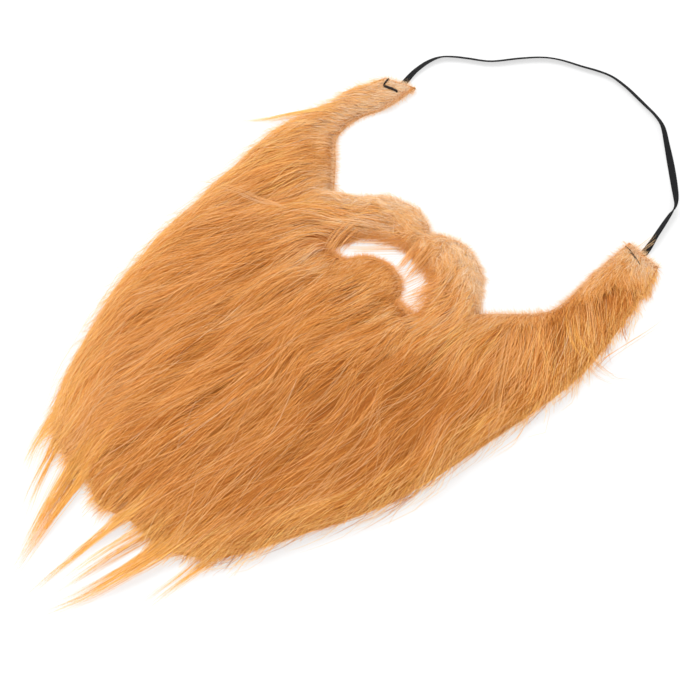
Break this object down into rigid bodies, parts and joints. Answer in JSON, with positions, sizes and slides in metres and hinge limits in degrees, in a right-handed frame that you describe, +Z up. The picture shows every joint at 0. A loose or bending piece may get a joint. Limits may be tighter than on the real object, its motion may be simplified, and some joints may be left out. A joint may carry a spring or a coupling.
{
  "type": "fake beard",
  "caption": "Long-pile fur cloth cut as a full beard with moustache, sideburn ends and a crescent mouth hole, worn with a flat elastic band round the head.",
  "frame": {"origin": "bottom centre of the box round the beard and its stitches, lying fur side up, elastic left out", "axes": "+X across the face, +Y from the tip of the beard towards the sideburn ends and the elastic, +Z up out of the fur"},
  "size_m": [0.336, 0.5928, 0.0213],
  "materials": {
    "fur": "long combed ginger pile on a knitted ground",
    "elastic": "flat woven black elastic",
    "thread": "black sewing thread"
  },
  "bodies": {
    "root": {"fur_beard": "fur", "elastic_band": "elastic", "stitch_left": "thread", "stitch_right": "thread"}
  },
  "joints": []
}
